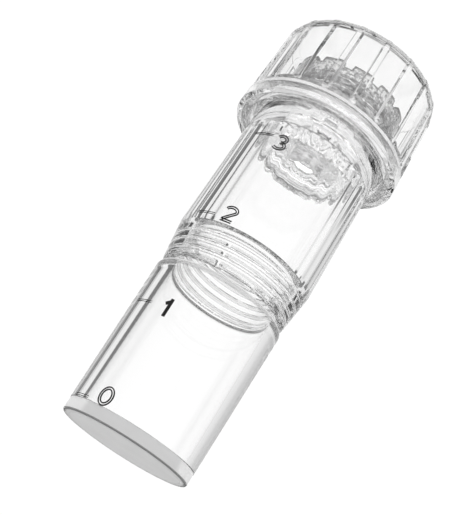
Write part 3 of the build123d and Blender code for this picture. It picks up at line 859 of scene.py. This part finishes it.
def make_seal(name, node, inner, body):
    """A soft flat ring with rounded edges."""
    mesh = bmesh.new()
    low = bottom(node)
    high = top(node)
    outer = reach(node)
    middle = (low + high) / 2
    round_off = 0.06 * MM
    points = outline(
        (inner, middle), (inner, low, round_off), (outer, low, round_off),
        (outer, high, round_off), (inner, high, round_off), (inner, middle),
    )
    wrap(mesh, even(PLAIN_COLUMNS), plain(points))
    return piece(name, mesh, SILICONE, body, node)


make_base()
make_container()
make_shaded_marks("lower_numerals", (0, 1), LOWER_WALL, "container_body", "lower_scale")
make_shaded_marks("upper_numerals", (2, 3), UPPER_WALL, "barrel_body", "upper_scale")
make_barrel()
make_cap()
make_ring()
make_insert()
make_seal("joint_washer", "joint_gasket", BORE + SLIP, "joint_seal")
make_seal("cap_washer", "cap_seal_ring", INSERT_BORE + 0.12 * MM, "cap_seal")
make_seal("guard_washer", "guard_seal", HEAD_BORE, "barrel_body")


# ---- nodes kept as they are --------------------------------------------------------------------
FINISHES = {
    "plug_o_ring": SILICONE,
    "valve_seat_washer": SILICONE,
    "outlet_plug": PLUG,
    "valve_stem": VALVE,
    "spring_cup": VALVE,
    "needle_plate": VALVE,
    "needle_guard": VALVE,
    "return_spring": STEEL,
    "needles": STEEL,
}
for name, material in FINISHES.items():
    data = nodes[name].data
    data.materials.clear()
    data.materials.append(material)


# ---- floor, light and camera --------------------------------------------------------------------
def floor_paper():
    """Pale paper that fades out far away and doesn't show from below."""
    material, n, links, shader = new_material("floor_paper")
    shader.inputs["Roughness"].default_value = 0.9
    grain = add_noise(n, links, 300)
    tint = graded(n, links, grain.outputs["Fac"], (0.86, 0.86, 0.86), (0.84, 0.84, 0.84))
    links.new(tint, shader.inputs["Base Color"])
    distance = turned(n, links)[0]
    side = n.new("ShaderNodeNewGeometry")
    gone = n.new("ShaderNodeMath")
    gone.operation = "MAXIMUM"
    links.new(stepped(n, links, distance, 0.1, 0.4), gone.inputs[0])
    links.new(side.outputs["Backfacing"], gone.inputs[1])
    open_air = n.new("ShaderNodeBsdfTransparent")
    mix = n.new("ShaderNodeMixShader")
    links.new(gone.outputs["Value"], mix.inputs["Fac"])
    links.new(shader.outputs["BSDF"], mix.inputs[1])
    links.new(open_air.outputs["BSDF"], mix.inputs[2])
    links.new(mix.outputs["Shader"], n["Material Output"].inputs["Surface"])
    return material


def make_floor():
    """A ring of floor just under the part, open under the base."""
    mesh = bmesh.new()
    level = -0.15 * MM
    points = [(BASE_RADIUS - 0.3 * MM, level), (0.025, level), (0.1, level), (0.5, level)]
    wrap(mesh, even(96), plain(points))
    bmesh.ops.recalc_face_normals(mesh, faces=mesh.faces)
    data = bpy.data.meshes.new("floor")
    mesh.to_mesh(data)
    mesh.free()
    if data.polygons[0].normal.z < 0:
        data.flip_normals()
    data.materials.append(floor_paper())
    floor_object = bpy.data.objects.new("floor", data)
    bpy.context.scene.collection.objects.link(floor_object)


def ramp_of(tree_nodes, links, value, stops):
    """Brightness from a 0 to 1 value, by a list of (place, brightness)."""
    ramp = tree_nodes.new("ShaderNodeValToRGB")
    links.new(value, ramp.inputs["Fac"])
    elements = ramp.color_ramp.elements
    for stop, (place, shade) in zip(elements, (stops[0], stops[-1])):
        stop.position = place
        stop.color = (shade, shade, shade, 1)
    for place, shade in stops[1:-1]:
        elements.new(place).color = (shade, shade, shade, 1)
    return ramp.outputs["Color"]


def lit_round(tree_nodes, links, turn, stops):
    """Brightness by azimuth, from a list of (degrees, brightness)."""
    return ramp_of(tree_nodes, links, turn, [(a / 360 + 0.5, v) for a, v in stops])


def lit_up(tree_nodes, links, rise, stops):
    """Brightness by elevation, from a list of (degrees, brightness)."""
    return ramp_of(tree_nodes, links, rise, [(sin(radians(a)) / 2 + 0.5, v) for a, v in stops])


def brighter(tree_nodes, links, first, second):
    """The larger of two brightnesses."""
    larger = tree_nodes.new("ShaderNodeMath")
    larger.operation = "MAXIMUM"
    links.new(first, larger.inputs[0])
    links.new(second, larger.inputs[1])
    return larger.outputs["Value"]


def directions(tree_nodes, links):
    """Azimuth and elevation of the surround as 0 to 1 values, and the plain vertical share."""
    place = tree_nodes.new("ShaderNodeTexCoord")
    axes = tree_nodes.new("ShaderNodeSeparateXYZ")
    links.new(place.outputs["Generated"], axes.inputs["Vector"])
    azimuth = tree_nodes.new("ShaderNodeMath")
    azimuth.operation = "ARCTAN2"
    links.new(axes.outputs["X"], azimuth.inputs[0])
    links.new(axes.outputs["Y"], azimuth.inputs[1])
    turn = tree_nodes.new("ShaderNodeMapRange")
    turn.inputs["From Min"].default_value = -pi
    turn.inputs["From Max"].default_value = pi
    links.new(azimuth.outputs["Value"], turn.inputs["Value"])
    rise = tree_nodes.new("ShaderNodeMapRange")
    rise.inputs["From Min"].default_value = -1
    links.new(axes.outputs["Z"], rise.inputs["Value"])
    return turn.outputs["Result"], rise.outputs["Result"], axes.outputs["Z"]


# degrees of elevation where the near surround changes, and the walls passed where the next one takes over
UPPER_RISE = (24, 27)
OPEN_RISE = (30, 33)
MIDDLE_WALLS = 2.5
FAR_WALLS = 6.5
DEEP_WALLS = 12
DEEP_GAIN = 1.7

# azimuth in degrees from straight behind the part, brightness there
LOW_SURROUND = (
    (-180, 0.4), (-70, 0.1), (-48, 0.1), (-46, 0.9), (-33, 0.92), (-30, 0.55), (-25, 0.52), (-24, 0.0),
    (-10, 0.0), (-9, 0.5), (0, 0.48), (12, 0.5), (22, 0.53), (30, 0.57), (35, 0.64), (42, 0.75),
    (53, 0.80), (70, 0.8), (180, 0.4),
)
UPPER_SURROUND = (
    (-180, 0.4), (-70, 0.1), (-48, 0.1), (-46, 0.9), (-33, 0.92), (-30, 0.55), (-25, 0.52), (-24, 0.0),
    (-10, 0.0), (-9, 0.5), (0, 0.48), (10, 0.5), (12, 0.05), (24, 0.05), (27, 0.8), (40, 0.85),
    (48, 0.8), (51, 0.1), (64, 0.1), (68, 0.8), (180, 0.4),
)
MIDDLE_SURROUND = (
    (-180, 1.0), (-84, 1.0), (-80, 0.15), (-60, 0.15), (-54, 1.0), (54, 1.0), (60, 0.15), (80, 0.15),
    (84, 1.0), (180, 1.0),
)
FAR_SURROUND = (
    (-180, 0.7), (-120, 0.9), (-115, 0.1), (-107, 0.1), (-104, 0.9), (-87, 0.9), (-84, 0.05), (-74, 0.05),
    (-71, 0.95), (-65, 0.95), (-62, 0.1), (-51, 0.1), (-48, 1.0), (48, 1.0), (51, 0.1), (62, 0.1),
    (65, 0.95), (71, 0.95), (74, 0.05), (84, 0.05), (87, 0.9), (104, 0.9), (107, 0.1), (115, 0.1),
    (120, 0.9), (180, 0.7),
)
# elevation in degrees, brightness there
HIGH_SURROUND = (
    (-90, 0.6), (-50, 0.8), (-38, 0.9), (-35, 0.15), (-30, 0.15), (-27, 1.0), (54, 1.0), (56, 0.15),
    (60, 0.15), (63, 0.9), (90, 0.7),
)


def make_world():
    """White studio surround. Its darker strips are seen only through clear walls, where they draw edges.

    How many walls a ray has passed says which strips it meets: the near ones after one or two, the
    middle ones next, and the far ones, brightened, after many.
    """
    world = bpy.data.worlds.new("studio")
    bpy.context.scene.world = world
    world.use_nodes = True
    n = world.node_tree.nodes
    links = world.node_tree.links
    turn, rise, up = directions(n, links)
    seen = n.new("ShaderNodeLightPath")
    walls = seen.outputs["Transmission Depth"]
    low = lit_round(n, links, turn, LOW_SURROUND)
    upper = lit_round(n, links, turn, UPPER_SURROUND)
    into_upper = stepped(n, links, up, *[sin(radians(a)) for a in UPPER_RISE])
    into_open = stepped(n, links, up, *[sin(radians(a)) for a in OPEN_RISE])
    near = blended(n, links, into_upper, low, upper)
    near = toned(n, links, near, ranged(n, links, into_open, 0.0, 0.6), 1.0)
    gain = n.new("ShaderNodeMapRange")
    gain.inputs["From Min"].default_value = FAR_WALLS - 0.5
    gain.inputs["From Max"].default_value = DEEP_WALLS
    gain.inputs["To Min"].default_value = 1.0
    gain.inputs["To Max"].default_value = DEEP_GAIN
    links.new(walls, gain.inputs["Value"])
    far = lit_round(n, links, turn, FAR_SURROUND)
    far = product(n, links, far, lit_up(n, links, rise, HIGH_SURROUND), gain.outputs["Result"])
    middle = lit_round(n, links, turn, MIDDLE_SURROUND)
    past_near = stepped(n, links, walls, MIDDLE_WALLS - 0.1, MIDDLE_WALLS + 0.1)
    past_middle = stepped(n, links, walls, FAR_WALLS - 0.1, FAR_WALLS + 0.1)
    light = blended(n, links, past_near, near, middle)
    light = blended(n, links, past_middle, light, far)
    # plain white in the open, and on matt faces
    light = brighter(n, links, light, stepped(n, links, walls, 0.6, 0.4))
    light = brighter(n, links, light, stepped(n, links, seen.outputs["Diffuse Depth"], 0.4, 0.6))
    back = n["Background"]
    links.new(light, back.inputs["Color"])
    back.inputs["Strength"].default_value = 1.04


CAMERA_PLACE = Vector((-0.749, -84.52, -10.62)) * MM
CAMERA_PITCH = 21.0
CAMERA_ROLL = 32.76
CAMERA_LENS = 62.91


def make_camera():
    data = bpy.data.cameras.new("camera")
    data.lens = CAMERA_LENS
    data.sensor_width = 36
    data.sensor_fit = "AUTO"
    data.clip_start = 0.001
    data.clip_end = 10
    camera = bpy.data.objects.new("camera", data)
    bpy.context.scene.collection.objects.link(camera)
    tilt = Matrix.Rotation(radians(90 + CAMERA_PITCH), 4, "X")
    roll = Matrix.Rotation(radians(CAMERA_ROLL), 4, "Z")
    camera.matrix_world = Matrix.Translation(CAMERA_PLACE) @ tilt @ roll
    bpy.context.scene.camera = camera


make_floor()
make_world()
make_camera()

scene = bpy.context.scene
scene.view_settings.view_transform = "Standard"
scene.view_settings.look = "None"
scene.cycles.max_bounces = 32
scene.cycles.transmission_bounces = 32
scene.cycles.glossy_bounces = 12
scene.cycles.transparent_max_bounces = 16
